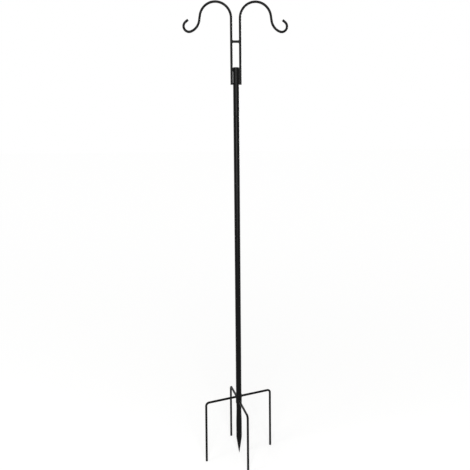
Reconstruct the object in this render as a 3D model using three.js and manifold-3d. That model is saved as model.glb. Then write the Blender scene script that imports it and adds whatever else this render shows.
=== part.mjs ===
// A double-hook hanging plant stand for the garden: a pole in plug-together sections with a pair
// of crook hooks on top, and below a spiked foot with two bent prong rods through a hub collar.
// Millimetres, +Z up. The pole's axis is the Z axis, the hooks spread along X, and the prongs
// stand on z = 0.
import * as THREE from 'three';
import { mergeVertices } from 'three/addons/utils/BufferGeometryUtils.js';
import Module from 'manifold-3d';

const wasm = await Module();
wasm.setup();

// ---- Driving dimensions ------------------------------------------------------------------

// Pole sections: thin steel tube. Each lower end is swaged down to plug into the tube below.
const POLE_DIAMETER = 25;
const POLE_WALL = 1.0;
const SECTION_LENGTH = 507;
const FOOT_SEAM_HEIGHT = 521;
const PLUG_LENGTH = 50;
const PLUG_CLEARANCE = 0.15;
const PLUG_LEAD = 1.2;
const SWAGE_LENGTH = 4;
const RIM_CHAMFER = 0.3;

// Head tube, which the hooks are welded to, and the cap in its open top.
const HEAD_TUBE_DIAMETER = 25;
const HEAD_TUBE_WALL = 1.2;
const HEAD_TUBE_LENGTH = 198.5;
const CAP_FLANGE = 1.6;
const CAP_SKIRT = 9;
const CAP_WALL = 1.5;

// Hooks: one bent rod each, running out from the head tube's side in a crook and a small hook.
const ROD_DIAMETER = 10;
const HOOK_OVERLAP = 67.5;
const HOOK_TUBE_GAP = 0.65;
const HOOK_STEM_LENGTH = 262;
const CROOK_RADIUS = 63.5;
const CROOK_ANGLE = 171.4;
const HOOK_DROP = 19;
const HOOK_THROAT_RADIUS = 54;
const HOOK_THROAT_ANGLE = 61;
const HOOK_CUP_RADIUS = 21.5;
const HOOK_CUP_ANGLE = 162;
const HOOK_LIP = 13;
const CROSS_BAR_HEIGHT = 103.5;

// Foot: two prong rods through a collar, and a stake that is flattened to a point.
const LONG_ROD_ARM = 160;
const CROSS_ROD_ARM = 154;
const LONG_ROD_HEIGHT = 282;
const ROD_SPACING = 20;
const LONG_ROD_AZIMUTH = 20.2;
const ROD_CROSSING_ANGLE = 80.1;
const PRONG_BEND_RADIUS = 14;
const PRONG_SPLAY = 0.5;
const COLLAR_LENGTH = 42;
const COLLAR_WALL = 1.15;
const COLLAR_ABOVE_ROD = 11;
const STAKE_WALL = 1.5;
const STAKE_OVERLAP = 80;
const STAKE_FLAT_THICKNESS = 16;
const STAKE_ROUND_LENGTH = 26;
const STAKE_PRESS_LENGTH = 80;
const STAKE_POINT_LENGTH = 79;
const STAKE_TIP_WIDTH = 1.6;
const STAKE_TIP_CLEARANCE = 1;

// Locking screws: one button-head screw through the side of each socket, against the plug.
const SCREW_DIAMETER = 6;
const SCREW_HEAD_DIAMETER = 10.5;
const SCREW_HEAD_HEIGHT = 3.3;
const SCREW_RIM_HEIGHT = 0.8;
const SCREW_KEY_SIZE = 4;
const SCREW_KEY_DEPTH = 2;
const SCREW_BELOW_SEAM = 22;
const UPPER_SCREW_AZIMUTH = 230;
const MIDDLE_SCREW_AZIMUTH = 72;
const LOWER_SCREW_AZIMUTH = 98;

// Welds and fits.
const WELD_LEG = 3;
const WELD_FLATNESS = 0.6;
const GROOVE_WELD_RADIUS = 2.6;
const GROOVE_WELD_SETOUT = 3;
const LEFT_UPPER_WELD_LENGTH = 14;
const LEFT_LOWER_WELD_LENGTH = 7;
const SEAT_GAP = 0.3;
const HOLE_CLEARANCE = 0.3;

// Facets.
const TUBE_SIDES = 32;
const ROD_SIDES = 14;
const STAKE_SIDES = 28;
const STAKE_PRESS_STEPS = 8;
const SCREW_SIDES = 20;
const BEND_STEP = 10;
const CURVE_STEPS = 4;
const POINT_MERGE = 1e-4;

// ---- Sizes that follow -------------------------------------------------------------------

const poleRadius = POLE_DIAMETER / 2;
const boreRadius = poleRadius - POLE_WALL;
const plugRadius = boreRadius - PLUG_CLEARANCE;
const headRadius = HEAD_TUBE_DIAMETER / 2;
const rodRadius = ROD_DIAMETER / 2;
const middleSeam = FOOT_SEAM_HEIGHT + SECTION_LENGTH;
const upperSeam = middleSeam + SECTION_LENGTH;
const headTop = upperSeam + HEAD_TUBE_LENGTH;
const hookOffset = headRadius + HOOK_TUBE_GAP + rodRadius;
const hookBase = headTop - HOOK_OVERLAP;
const crossRodHeight = LONG_ROD_HEIGHT - ROD_SPACING;
const crossRodAzimuth = LONG_ROD_AZIMUTH + ROD_CROSSING_ANGLE;
const collarTop = LONG_ROD_HEIGHT + COLLAR_ABOVE_ROD;
const collarBottom = collarTop - COLLAR_LENGTH;
const collarBore = poleRadius + PLUG_CLEARANCE;
const collarRadius = collarBore + COLLAR_WALL;
const pressStart = collarBottom - STAKE_ROUND_LENGTH;
const pressEnd = pressStart - STAKE_PRESS_LENGTH;
const pointStart = STAKE_TIP_CLEARANCE + STAKE_POINT_LENGTH;

// ---- Finishes ----------------------------------------------------------------------------

const blackPaint = { color: 0x0c0c0d, roughness: 0.35, metalness: 0.1 };
const blackWeld = { color: 0x101011, roughness: 0.5, metalness: 0.1 };
const blackScrew = { color: 0x141416, roughness: 0.35, metalness: 0.6 };
const blackPlastic = { color: 0x0f0f10, roughness: 0.6, metalness: 0 };

// ---- Geometry helpers --------------------------------------------------------------------

function radians(degrees) {
  return THREE.MathUtils.degToRad(degrees);
}

// The level direction away from the pole at an azimuth, which is counted from +X.
function outward(azimuth) {
  return new THREE.Vector3(Math.cos(radians(azimuth)), Math.sin(radians(azimuth)), 0);
}

// A closed mesh as a solid that can be joined and cut.
function toSolid(geometry) {
  const bare = geometry.clone();
  bare.deleteAttribute('normal');
  bare.deleteAttribute('uv');
  const merged = mergeVertices(bare, POINT_MERGE);
  const vertProperties = new Float32Array(merged.attributes.position.array);
  const triVerts = new Uint32Array(merged.index.array);
  return new wasm.Manifold(new wasm.Mesh({ numProp: 3, vertProperties, triVerts }));
}

function toGeometry(solid) {
  const mesh = solid.getMesh();
  const geometry = new THREE.BufferGeometry();
  geometry.setAttribute('position', new THREE.BufferAttribute(mesh.vertProperties, mesh.numProp));
  geometry.setIndex(new THREE.BufferAttribute(mesh.triVerts, 1));
  geometry.computeVertexNormals();
  return geometry;
}

function cut(geometry, tools) {
  const cutSolid = tools.reduce((body, tool) => body.subtract(toSolid(tool)), toSolid(geometry));
  return toGeometry(cutSolid);
}

// A closed profile of [radius, height] pairs turned about the Z axis.
function revolve(profile, sides) {
  const points = profile.map(([radius, height]) => new THREE.Vector2(radius, height));
  if (profile[0][0] > 0) {
    points.push(points[0].clone());
  }
  const geometry = new THREE.LatheGeometry(points, sides);
  geometry.rotateX(Math.PI / 2);
  return geometry;
}

function circleShape(radius, sides) {
  const corners = Array.from({ length: sides }, (unused, side) => {
    const angle = (2 * Math.PI * side) / sides;
    return new THREE.Vector2(radius * Math.cos(angle), radius * Math.sin(angle));
  });
  return new THREE.Shape(corners);
}

// A straight round bar between two points.
function bar(start, end, radius, sides) {
  const length = start.distanceTo(end);
  const geometry = new THREE.CylinderGeometry(radius, radius, length, sides);
  const direction = end.clone().sub(start).normalize();
  const turn = new THREE.Quaternion().setFromUnitVectors(new THREE.Vector3(0, 1, 0), direction);
  geometry.applyQuaternion(turn);
  const middle = start.clone().add(end).multiplyScalar(0.5);
  geometry.translate(middle.x, middle.y, middle.z);
  return geometry;
}

// The centre line of a rod bent in one upright plane, made of straights and bends as on the
// bending machine. Each straight is one step, and each bend has steps of at most BEND_STEP.
class BentRodPath extends THREE.Curve {
  constructor(start, heading) {
    super();
    this.cursor = start.clone();
    this.heading = heading;
    this.stations = [{ point: start.clone(), heading }];
  }

  straight(length) {
    this.cursor.x += length * Math.cos(this.heading);
    this.cursor.y += length * Math.sin(this.heading);
    this.stations.push({ point: this.cursor.clone(), heading: this.heading });
    return this;
  }

  bend(radius, degrees) {
    const steps = Math.ceil(Math.abs(degrees) / BEND_STEP);
    const turn = radians(degrees) / steps;
    const chord = 2 * radius * Math.sin(Math.abs(turn) / 2);
    for (let step = 0; step < steps; step += 1) {
      this.cursor.x += chord * Math.cos(this.heading + turn / 2);
      this.cursor.y += chord * Math.sin(this.heading + turn / 2);
      this.heading += turn;
      this.stations.push({ point: this.cursor.clone(), heading: this.heading });
    }
    return this;
  }

  get steps() {
    return this.stations.length - 1;
  }

  station(fraction) {
    return this.stations[Math.round(fraction * this.steps)];
  }

  getPointAt(fraction, target = new THREE.Vector3()) {
    const { point } = this.station(fraction);
    return target.set(point.x, 0, point.y);
  }

  getTangentAt(fraction, target = new THREE.Vector3()) {
    const { heading } = this.station(fraction);
    return target.set(Math.cos(heading), 0, Math.sin(heading));
  }
}

// A round rod along a bent path, with square-cut ends.
function sweepRod(path, radius) {
  const section = circleShape(radius, ROD_SIDES);
  return new THREE.ExtrudeGeometry(section, { extrudePath: path, steps: path.steps, bevelEnabled: false });
}

// A solid skin over a stack of rings with equal numbers of points, closed at both ends.
function loft(rings) {
  const count = rings[0].length;
  const positions = rings.flat().flatMap((point) => point.toArray());
  const indices = [];
  for (let ring = 0; ring < rings.length - 1; ring += 1) {
    for (let side = 0; side < count; side += 1) {
      const next = (side + 1) % count;
      const low = ring * count;
      const high = low + count;
      indices.push(low + side, low + next, high + next);
      indices.push(low + side, high + next, high + side);
    }
  }
  const top = (rings.length - 1) * count;
  for (let side = 1; side < count - 1; side += 1) {
    indices.push(0, side + 1, side);
    indices.push(top, top + side, top + side + 1);
  }
  const geometry = new THREE.BufferGeometry();
  geometry.setAttribute('position', new THREE.Float32BufferAttribute(positions, 3));
  geometry.setIndex(indices);
  return geometry;
}

function named(name, geometry, finish) {
  const mesh = new THREE.Mesh(geometry, new THREE.MeshStandardMaterial(finish));
  mesh.name = name;
  return mesh;
}

// ---- Plug-together tubes -----------------------------------------------------------------

// A tube whose lower end is swaged down to a plug. Wall thickness is kept through the swage.
function pluggedTube(bottom, top, radius, wall) {
  const plugEnd = bottom - PLUG_LENGTH;
  const plugBore = plugRadius - wall;
  const shoulder = bottom + SWAGE_LENGTH;
  return revolve([
    [plugRadius - PLUG_LEAD / 2, plugEnd],
    [plugRadius, plugEnd + PLUG_LEAD],
    [plugRadius, bottom],
    [radius - RIM_CHAMFER, shoulder - RIM_CHAMFER],
    [radius, shoulder],
    [radius, top - RIM_CHAMFER],
    [radius - RIM_CHAMFER, top],
    [radius - wall, top],
    [radius - wall, shoulder + wall],
    [plugBore, bottom + wall],
    [plugBore, plugEnd],
  ], TUBE_SIDES);
}

// The hole for a locking screw through one side of the socket at the top of a tube.
function screwHole(seam, azimuth) {
  const inside = new THREE.Vector3(0, 0, seam - SCREW_BELOW_SEAM);
  const outside = inside.clone().addScaledVector(outward(azimuth), POLE_DIAMETER);
  return bar(inside, outside, SCREW_DIAMETER / 2 + HOLE_CLEARANCE, SCREW_SIDES);
}

function poleSection(name, bottom, screwAzimuth) {
  const top = bottom + SECTION_LENGTH;
  const tube = pluggedTube(bottom, top, poleRadius, POLE_WALL);
  return named(name, cut(tube, [screwHole(top, screwAzimuth)]), blackPaint);
}

// ---- Locking screw -----------------------------------------------------------------------

// A button-head screw along +Z, with its head's flat underside at z = 0.
function buttonScrew(shankLength) {
  const shankRadius = SCREW_DIAMETER / 2;
  const headRadiusOfScrew = SCREW_HEAD_DIAMETER / 2;
  const domeHeight = SCREW_HEAD_HEIGHT - SCREW_RIM_HEIGHT;
  const profile = [
    [0, -shankLength],
    [shankRadius, -shankLength],
    [shankRadius, 0],
    [headRadiusOfScrew, 0],
  ];
  for (let step = 0; step <= CURVE_STEPS; step += 1) {
    const angle = (Math.PI / 2) * (step / CURVE_STEPS);
    profile.push([headRadiusOfScrew * Math.cos(angle), SCREW_RIM_HEIGHT + domeHeight * Math.sin(angle)]);
  }
  profile[profile.length - 1][0] = 0;
  const keyRadius = SCREW_KEY_SIZE / Math.sqrt(3);
  const key = new THREE.CylinderGeometry(keyRadius, keyRadius, 2 * SCREW_KEY_DEPTH, 6);
  key.rotateX(Math.PI / 2);
  key.translate(0, 0, SCREW_HEAD_HEIGHT);
  return cut(revolve(profile, SCREW_SIDES), [key]);
}

function lockingScrew(name, seam, azimuth) {
  const headSeat = poleRadius + SEAT_GAP;
  const shankLength = headSeat - (plugRadius + SEAT_GAP);
  const screw = named(name, buttonScrew(shankLength), blackScrew);
  const direction = outward(azimuth);
  screw.quaternion.setFromUnitVectors(new THREE.Vector3(0, 0, 1), direction);
  screw.position.copy(direction).multiplyScalar(headSeat);
  screw.position.z = seam - SCREW_BELOW_SEAM;
  return screw;
}

// ---- Head --------------------------------------------------------------------------------

// A hook's centre line, for the right hook. The left hook is its mirror image.
function hookPath() {
  const start = new THREE.Vector2(hookOffset, hookBase);
  return new BentRodPath(start, Math.PI / 2)
    .straight(HOOK_STEM_LENGTH)
    .bend(CROOK_RADIUS, -CROOK_ANGLE)
    .straight(HOOK_DROP)
    .bend(HOOK_THROAT_RADIUS, HOOK_THROAT_ANGLE)
    .bend(HOOK_CUP_RADIUS, HOOK_CUP_ANGLE)
    .straight(HOOK_LIP);
}

// A hook rod of the given radius on one side: 1 is right, -1 is left.
function hookRod(side, radius) {
  const rod = sweepRod(hookPath(), radius);
  if (side < 0) {
    rod.rotateZ(Math.PI);
  }
  return rod;
}

function headTube() {
  return named('head_tube', pluggedTube(upperSeam, headTop, headRadius, HEAD_TUBE_WALL), blackPaint);
}

// A push-in cap: a flange on the tube's rim and a hollow skirt inside the bore.
function headCap() {
  const skirtRadius = headRadius - HEAD_TUBE_WALL - PLUG_CLEARANCE;
  const seat = headTop + SEAT_GAP;
  const profile = [
    [0, seat],
    [skirtRadius - CAP_WALL, seat],
    [skirtRadius - CAP_WALL, seat - CAP_SKIRT],
    [skirtRadius, seat - CAP_SKIRT],
    [skirtRadius, seat],
    [headRadius, seat],
    [headRadius, seat + CAP_FLANGE / 2],
    [headRadius - CAP_FLANGE / 2, seat + CAP_FLANGE],
    [0, seat + CAP_FLANGE],
  ];
  return named('head_cap', revolve(profile, TUBE_SIDES), blackPlastic);
}

// Where the cross bar's centre line meets a hook stem's.
function crossBarEnd(side) {
  return new THREE.Vector3(side * hookOffset, 0, headTop + CROSS_BAR_HEIGHT);
}

// A short bar between the stems, with ends coped to fit round them.
function crossBar() {
  const blank = bar(crossBarEnd(-1), crossBarEnd(1), rodRadius, ROD_SIDES);
  const tools = [1, -1].map((side) => hookRod(side, rodRadius + SEAT_GAP));
  return named('cross_bar', cut(blank, tools), blackPaint);
}

// A bead of weld round a bar where it runs out of a surface at `centre` along `direction`.
function weldRing(centre, direction, neighbours) {
  const bead = new THREE.SphereGeometry(rodRadius + WELD_LEG, ROD_SIDES, ROD_SIDES / 2);
  bead.scale(1, WELD_FLATNESS, 1);
  const turn = new THREE.Quaternion().setFromUnitVectors(new THREE.Vector3(0, 1, 0), direction);
  bead.applyQuaternion(turn);
  bead.translate(centre.x, centre.y, centre.z);
  return cut(bead, neighbours);
}

function crossBarWeld(name, side) {
  const inward = new THREE.Vector3(-side, 0, 0);
  const surface = crossBarEnd(side).addScaledVector(inward, rodRadius);
  const barTool = bar(crossBarEnd(-side), crossBarEnd(side), rodRadius + SEAT_GAP, ROD_SIDES);
  const stemTool = hookRod(side, rodRadius + SEAT_GAP);
  return named(name, weldRing(surface, inward, [barTool, stemTool]), blackWeld);
}

// A weld bead from `low` to `high` in one of the two grooves between the head tube and a hook rod.
// `side` is 1 on the right and -1 on the left, and `facing` is 1 at the back and -1 in front.
function grooveBead(side, facing, low, high) {
  const body = high - low - 2 * GROOVE_WELD_RADIUS;
  const bead = new THREE.CapsuleGeometry(GROOVE_WELD_RADIUS, body, CURVE_STEPS, ROD_SIDES);
  bead.rotateX(Math.PI / 2);
  const grooveReach = headRadius + HOOK_TUBE_GAP / 2;
  bead.translate(side * grooveReach, facing * GROOVE_WELD_SETOUT, (low + high) / 2);
  const headTool = bar(
    new THREE.Vector3(0, 0, upperSeam),
    new THREE.Vector3(0, 0, headTop + HOOK_OVERLAP),
    headRadius + SEAT_GAP,
    TUBE_SIDES,
  );
  return cut(bead, [headTool, hookRod(side, rodRadius + SEAT_GAP)]);
}

// The left rod has a short bead at each end of its overlap with the tube, and the right rod one
// long bead, in the groove in front and in the one at the back.
function hookWelds() {
  const lowerEnd = hookBase + LEFT_LOWER_WELD_LENGTH;
  const upperStart = headTop - LEFT_UPPER_WELD_LENGTH;
  return [['front', -1], ['back', 1]].flatMap(([face, facing]) => [
    named(`left_hook_lower_${face}_weld`, grooveBead(-1, facing, hookBase, lowerEnd), blackWeld),
    named(`left_hook_upper_${face}_weld`, grooveBead(-1, facing, upperStart, headTop), blackWeld),
    named(`right_hook_${face}_weld`, grooveBead(1, facing, hookBase, headTop), blackWeld),
  ]);
}

// ---- Foot --------------------------------------------------------------------------------

// A prong rod's centre line in its own plane, from one tip over the arms to the other tip. The
// legs run a little below the ground plane, to be cut level there.
function prongPath(arm, height) {
  const turn = 90 - PRONG_SPLAY;
  const setback = PRONG_BEND_RADIUS * Math.tan(radians(turn / 2));
  const reach = height / Math.cos(radians(PRONG_SPLAY)) + ROD_DIAMETER;
  const tip = new THREE.Vector2(
    -arm - reach * Math.sin(radians(PRONG_SPLAY)),
    height - reach * Math.cos(radians(PRONG_SPLAY)),
  );
  return new BentRodPath(tip, radians(turn))
    .straight(reach - setback)
    .bend(PRONG_BEND_RADIUS, -turn)
    .straight(2 * (arm - setback))
    .bend(PRONG_BEND_RADIUS, -turn)
    .straight(reach - setback);
}

// A block under the ground plane, wider than the foot and deeper than the legs run.
function belowGround() {
  const width = 3 * (LONG_ROD_ARM + CROSS_ROD_ARM);
  const depth = 3 * ROD_DIAMETER;
  const block = new THREE.BoxGeometry(width, width, depth);
  block.translate(0, 0, -depth / 2);
  return block;
}

function prongRod(name, arm, height, azimuth) {
  const rod = sweepRod(prongPath(arm, height), rodRadius);
  rod.rotateZ(radians(azimuth));
  return named(name, cut(rod, [belowGround()]), blackPaint);
}

// The two prong rods where they cross the hub, as [height, azimuth].
const hubCrossings = [
  [LONG_ROD_HEIGHT, LONG_ROD_AZIMUTH],
  [crossRodHeight, crossRodAzimuth],
];

// Straight tools as thick as a rod with clearance all round, through the hub at each crossing.
function rodHoles() {
  return hubCrossings.map(([height, azimuth]) => {
    const reach = outward(azimuth).multiplyScalar(2 * collarRadius).setZ(height);
    const start = reach.clone().multiply(new THREE.Vector3(-1, -1, 1));
    return bar(start, reach, rodRadius + HOLE_CLEARANCE, ROD_SIDES);
  });
}

// The bottom tube of the pole: a plain socket at the top, and drilled for the rods in the hub.
function lowerPole() {
  const profile = [
    [poleRadius, collarBottom],
    [poleRadius, FOOT_SEAM_HEIGHT - RIM_CHAMFER],
    [poleRadius - RIM_CHAMFER, FOOT_SEAM_HEIGHT],
    [boreRadius, FOOT_SEAM_HEIGHT],
    [boreRadius, collarBottom],
  ];
  const holes = [...rodHoles(), screwHole(FOOT_SEAM_HEIGHT, LOWER_SCREW_AZIMUTH)];
  return named('lower_pole', cut(revolve(profile, TUBE_SIDES), holes), blackPaint);
}

function hubCollar() {
  const profile = [
    [collarRadius - RIM_CHAMFER, collarBottom],
    [collarRadius, collarBottom + RIM_CHAMFER],
    [collarRadius, collarTop - RIM_CHAMFER],
    [collarRadius - RIM_CHAMFER, collarTop],
    [collarBore, collarTop],
    [collarBore, collarBottom],
  ];
  return named('hub_collar', cut(revolve(profile, TUBE_SIDES), rodHoles()), blackPaint);
}

// A quarter-round ring of weld that closes one end of the collar against the tube inside it.
// `upward` is 1 at the collar's top and -1 at its bottom.
function collarEndWeld(name, height, upward, tubeRadius) {
  const innerRadius = tubeRadius + SEAT_GAP;
  const seat = height + upward * SEAT_GAP;
  const leg = collarRadius - innerRadius;
  const profile = [[innerRadius, seat]];
  for (let step = 0; step <= CURVE_STEPS; step += 1) {
    const angle = (Math.PI / 2) * (step / CURVE_STEPS);
    profile.push([innerRadius + leg * Math.cos(angle), seat + upward * leg * Math.sin(angle)]);
  }
  profile[profile.length - 1][0] = innerRadius;
  if (upward < 0) {
    profile.reverse();
  }
  return named(name, revolve(profile, TUBE_SIDES), blackWeld);
}

// The bead round a prong rod's arm where it leaves the collar on one side.
function prongWeld(name, height, azimuth) {
  const direction = outward(azimuth);
  const surface = direction.clone().multiplyScalar(collarRadius).setZ(height);
  const far = direction.clone().multiplyScalar(2 * collarRadius).setZ(height);
  const middle = new THREE.Vector3(0, 0, height);
  const rodTool = bar(middle, far, rodRadius + SEAT_GAP, ROD_SIDES);
  const collarTool = bar(
    new THREE.Vector3(0, 0, collarBottom - COLLAR_LENGTH),
    new THREE.Vector3(0, 0, collarTop + COLLAR_LENGTH),
    collarRadius + SEAT_GAP,
    TUBE_SIDES,
  );
  return named(name, weldRing(surface, direction, [rodTool, collarTool]), blackWeld);
}

// How far the stake is flattened at a height, from 0 where it is round to 1.
function pressedShare(height) {
  const share = (pressStart - height) / STAKE_PRESS_LENGTH;
  return THREE.MathUtils.smoothstep(share, 0, 1);
}

// The stake's section at a height, as a ring of points `inset` inside its skin. Pressing keeps
// the tube's girth, so what it loses in thickness it gains in width as two flats.
function stakeRing(height, inset) {
  const roundThickness = 2 * plugRadius;
  const fullThickness = THREE.MathUtils.lerp(roundThickness, STAKE_FLAT_THICKNESS, pressedShare(height));
  const fullFlat = (Math.PI * (roundThickness - fullThickness)) / 2;
  const taper = THREE.MathUtils.clamp((height - STAKE_TIP_CLEARANCE) / STAKE_POINT_LENGTH, 0, 1);
  const thickness = THREE.MathUtils.lerp(STAKE_TIP_WIDTH, fullThickness, taper);
  const flat = fullFlat * taper;
  const corner = thickness / 2 - inset;
  return Array.from({ length: STAKE_SIDES }, (unused, side) => {
    const angle = (2 * Math.PI * (side + 0.5)) / STAKE_SIDES;
    const across = (Math.sign(Math.cos(angle)) * flat) / 2 + corner * Math.cos(angle);
    return new THREE.Vector3(across, corner * Math.sin(angle), height);
  });
}

// Heights from low to high at which the stake's skin bends.
function stakeHeights(bottom, top) {
  const heights = [bottom, pointStart];
  for (let step = 0; step <= STAKE_PRESS_STEPS; step += 1) {
    heights.push(pressEnd + (STAKE_PRESS_LENGTH * step) / STAKE_PRESS_STEPS);
  }
  heights.push(top);
  return heights.filter((height, index) => index === 0 || height > heights[index - 1]);
}

// The spike: a tube held in the hub, pressed nearly flat below it and drawn to a point.
function stake() {
  const top = collarBottom + STAKE_OVERLAP;
  const skinHeights = stakeHeights(STAKE_TIP_CLEARANCE, top);
  const boreHeights = stakeHeights(pointStart, top + STAKE_WALL);
  const skin = loft(skinHeights.map((height) => stakeRing(height, 0)));
  const bore = loft(boreHeights.map((height) => stakeRing(height, STAKE_WALL)));
  [skin, bore].forEach((geometry) => geometry.rotateZ(radians(LONG_ROD_AZIMUTH)));
  return named('stake', cut(skin, [bore, ...rodHoles()]), blackPaint);
}

// ---- Assembly ----------------------------------------------------------------------------

const stand = new THREE.Group();
stand.add(headTube());
stand.add(headCap());
stand.add(named('left_hook', hookRod(-1, rodRadius), blackPaint));
stand.add(named('right_hook', hookRod(1, rodRadius), blackPaint));
stand.add(crossBar());
stand.add(crossBarWeld('left_cross_bar_weld', -1));
stand.add(crossBarWeld('right_cross_bar_weld', 1));
stand.add(...hookWelds());
stand.add(poleSection('upper_pole', middleSeam, UPPER_SCREW_AZIMUTH));
stand.add(poleSection('middle_pole', FOOT_SEAM_HEIGHT, MIDDLE_SCREW_AZIMUTH));
stand.add(lowerPole());
stand.add(lockingScrew('upper_locking_screw', upperSeam, UPPER_SCREW_AZIMUTH));
stand.add(lockingScrew('middle_locking_screw', middleSeam, MIDDLE_SCREW_AZIMUTH));
stand.add(lockingScrew('lower_locking_screw', FOOT_SEAM_HEIGHT, LOWER_SCREW_AZIMUTH));
stand.add(hubCollar());
stand.add(collarEndWeld('collar_top_weld', collarTop, 1, poleRadius));
stand.add(collarEndWeld('collar_bottom_weld', collarBottom, -1, plugRadius));
stand.add(prongRod('long_prong_rod', LONG_ROD_ARM, LONG_ROD_HEIGHT, LONG_ROD_AZIMUTH));
stand.add(prongRod('cross_prong_rod', CROSS_ROD_ARM, crossRodHeight, crossRodAzimuth));
stand.add(prongWeld('left_prong_weld', LONG_ROD_HEIGHT, LONG_ROD_AZIMUTH + 180));
stand.add(prongWeld('right_prong_weld', LONG_ROD_HEIGHT, LONG_ROD_AZIMUTH));
stand.add(prongWeld('back_prong_weld', crossRodHeight, crossRodAzimuth));
stand.add(prongWeld('front_prong_weld', crossRodHeight, crossRodAzimuth + 180));
stand.add(stake());

export default stand;
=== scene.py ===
"""Looks of a double-hook hanging plant stand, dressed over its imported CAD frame.

Sizes are in millimetres and go into Blender in metres. The pole's axis is Z, the hooks spread
along X, and the prongs stand on z = 0. Every piece is a numpy surface that stands for one CAD
node and rides on that node's body.
"""

import logging
import math
from dataclasses import dataclass, field
from enum import Enum

import bmesh
import bpy
import numpy as np
from mathutils import Matrix, Vector


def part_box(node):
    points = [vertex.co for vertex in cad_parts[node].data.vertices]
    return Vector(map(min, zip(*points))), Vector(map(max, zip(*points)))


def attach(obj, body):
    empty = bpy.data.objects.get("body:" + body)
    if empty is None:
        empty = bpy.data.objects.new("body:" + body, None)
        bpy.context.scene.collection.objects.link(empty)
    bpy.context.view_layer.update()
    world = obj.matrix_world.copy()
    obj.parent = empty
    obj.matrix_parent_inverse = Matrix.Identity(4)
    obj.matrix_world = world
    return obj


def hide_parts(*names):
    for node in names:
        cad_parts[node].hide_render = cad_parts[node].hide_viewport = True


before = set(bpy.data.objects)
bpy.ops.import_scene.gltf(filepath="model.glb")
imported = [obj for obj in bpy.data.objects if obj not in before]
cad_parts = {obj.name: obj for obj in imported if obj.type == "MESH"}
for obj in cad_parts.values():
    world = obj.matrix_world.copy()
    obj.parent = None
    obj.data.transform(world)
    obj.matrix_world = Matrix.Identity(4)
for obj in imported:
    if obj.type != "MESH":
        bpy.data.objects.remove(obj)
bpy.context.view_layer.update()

MM = 0.001
MERGE_DISTANCE = 1e-6
SHARP_ANGLE = 40.0
WAVE_PHASE = 20  # the wave texture multiplies its scale by this
FRAME_PIXELS = 470
SENSOR_WIDTH = 36.0

log = logging.getLogger("plant_stand")


class Body(Enum):
    """The CAD bodies that the pieces ride on."""

    FOOT = "foot"
    MIDDLE = "middle_section"
    UPPER = "upper_section"
    HEAD = "head"
    UPPER_SCREW = "upper_screw"
    MIDDLE_SCREW = "middle_screw"
    LOWER_SCREW = "lower_screw"


class Slot(Enum):
    """The record's material slots."""

    PAINT = "black_powder_coat"
    WELD = "coated_weld"
    SCREW = "black_steel_screw"
    PLASTIC = "black_plastic"


class Side(Enum):
    """Which way along X a piece lies from the pole."""

    LEFT = -1
    RIGHT = 1


# ---- Node helpers -------------------------------------------------------------------------


def linear(colour: str) -> tuple[float, float, float, float]:
    """Turns an sRGB hex colour into Blender's linear colour.

    Args:
        colour: Six hex digits after a hash sign.

    Returns:
        Red, green and blue as linear numbers, and an alpha of 1.
    """
    parts = np.array([int(colour[i : i + 2], 16) / 255 for i in (1, 3, 5)])
    light = np.where(parts <= 0.04045, parts / 12.92, ((parts + 0.055) / 1.055) ** 2.4)
    return (*light.tolist(), 1.0)


def add_node(
    tree: bpy.types.NodeTree,
    kind: str,
    settings: dict[str, object] | None = None,
    inputs: dict[str | int, object] | None = None,
) -> bpy.types.Node:
    """Adds one node with its settings, socket values and incoming links.

    Args:
        tree: The node tree that the node goes into.
        kind: The node's type name without its ShaderNode prefix.
        settings: Properties of the node itself.
        inputs: Values or other nodes' outputs for its input sockets.

    Returns:
        The new node.
    """
    node = tree.nodes.new("ShaderNode" + kind)
    for key, value in (settings or {}).items():
        setattr(node, key, value)
    for key, value in (inputs or {}).items():
        if isinstance(value, bpy.types.NodeSocket):
            tree.links.new(value, node.inputs[key])
        else:
            node.inputs[key].default_value = value
    return node


def new_material(name: str) -> tuple[bpy.types.Material, bpy.types.NodeTree]:
    """Makes an empty node material.

    Args:
        name: What the material is called.

    Returns:
        The material and its node tree.
    """
    material = bpy.data.materials.new(name)
    material.use_nodes = True
    material.node_tree.nodes.clear()
    return material, material.node_tree


def end_finish(
    tree: bpy.types.NodeTree,
    mottle: bpy.types.NodeSocket,
    tones: tuple[tuple[str, float], tuple[str, float]],
    relief: tuple[bpy.types.NodeSocket, float, float],
    sockets: dict[str, object],
) -> None:
    """Ends a finish: two tones over its mottle, its relief, the shader and the output.

    Args:
        tree: The finish's node tree.
        mottle: What the tones follow.
        tones: Hex colour and place on the mottle, of the low and the high tone.
        relief: Height socket, strength, and full height in millimetres.
        sockets: The shader's other sockets.
    """
    colour = add_node(tree, "ValToRGB", inputs={"Fac": mottle})
    for stop, (tone, place) in zip(colour.color_ramp.elements, tones):
        stop.position, stop.color = place, linear(tone)
    height, strength, rise = relief
    bump = add_node(
        tree, "Bump", inputs={"Strength": strength, "Distance": rise * MM, "Height": height}
    )
    look = {"Base Color": colour.outputs["Color"], "Normal": bump.outputs["Normal"], **sockets}
    shader = add_node(tree, "BsdfPrincipled", inputs=look)
    add_node(tree, "OutputMaterial", inputs={"Surface": shader.outputs["BSDF"]})


# ---- Finishes -----------------------------------------------------------------------------


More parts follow.
